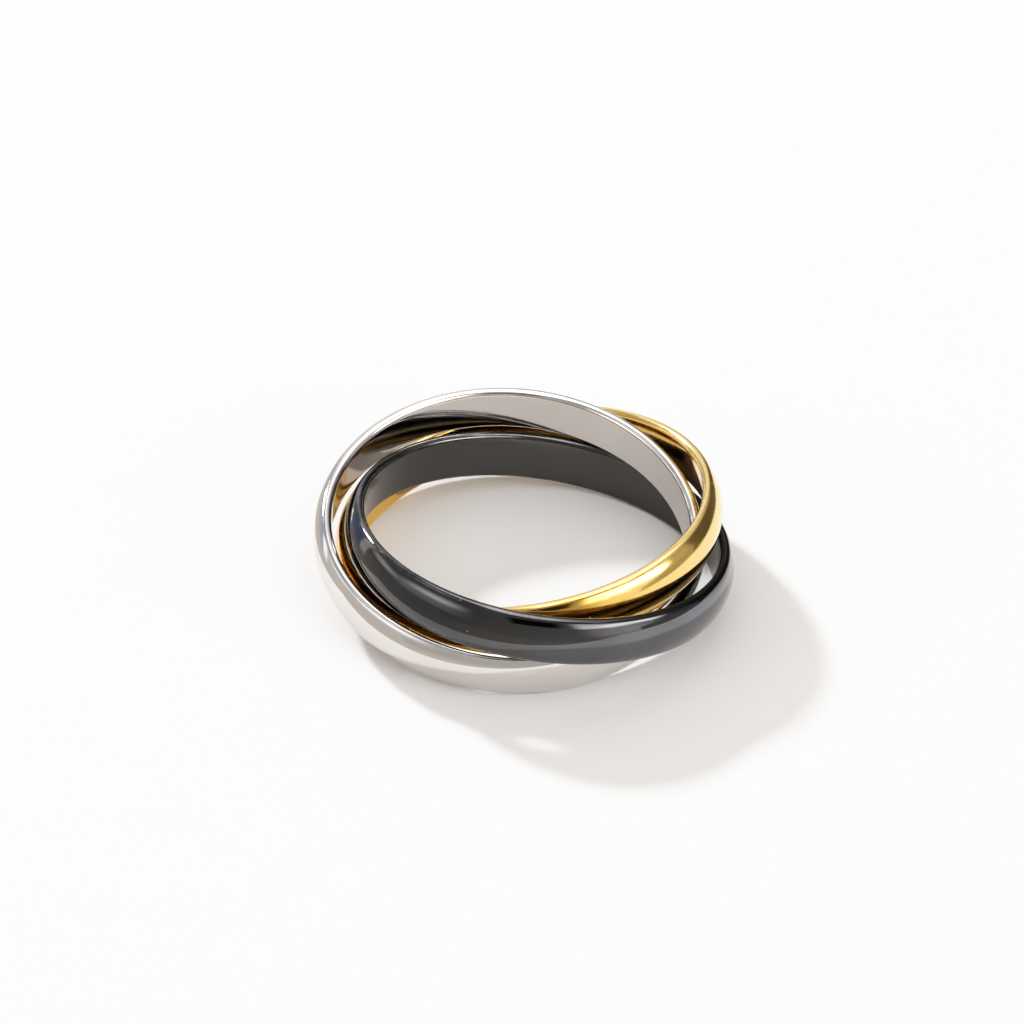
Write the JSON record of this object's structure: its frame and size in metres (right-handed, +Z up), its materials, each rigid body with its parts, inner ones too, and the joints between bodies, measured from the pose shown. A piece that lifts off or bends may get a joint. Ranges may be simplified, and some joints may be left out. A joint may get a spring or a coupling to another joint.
{
  "type": "rolling ring",
  "caption": "Finger ring of linked plain bands in silver, gunmetal and gold colours, flat inside and domed outside, lying fanned out. Each band turns in the others.",
  "frame": {"origin": "middle of the outline of the bands seen from above, on the surface that they lie on", "axes": "+Z up, through the finger hole; +X to the right and +Y away as the picture looks at the ring"},
  "size_m": [0.0224, 0.0226, 0.0061],
  "materials": {
    "silver": "mirror-polished dome and edges, satin inside",
    "gunmetal": "dark grey coating, mirror-polished dome and edges, satin inside",
    "gold": "yellow gold coating, mirror-polished dome and edges, satin inside"
  },
  "bodies": {
    "silver": {"silver_band": "silver"},
    "gunmetal": {"gunmetal_band": "gunmetal"},
    "gold": {"gold_band": "gold"}
  },
  "joints": [
    {"name": "gunmetal_turn", "type": "hinge", "parent": "silver", "child": "gunmetal", "pos_m": [0.00083, -0.00093, 0.00307], "axis": [0.1295, 0.1208, 0.9842], "continuous": true},
    {"name": "gold_turn", "type": "hinge", "parent": "silver", "child": "gold", "pos_m": [0.00022, 0.00089, 0.003], "axis": [-0.1589, 0.061, 0.9854], "continuous": true}
  ]
}
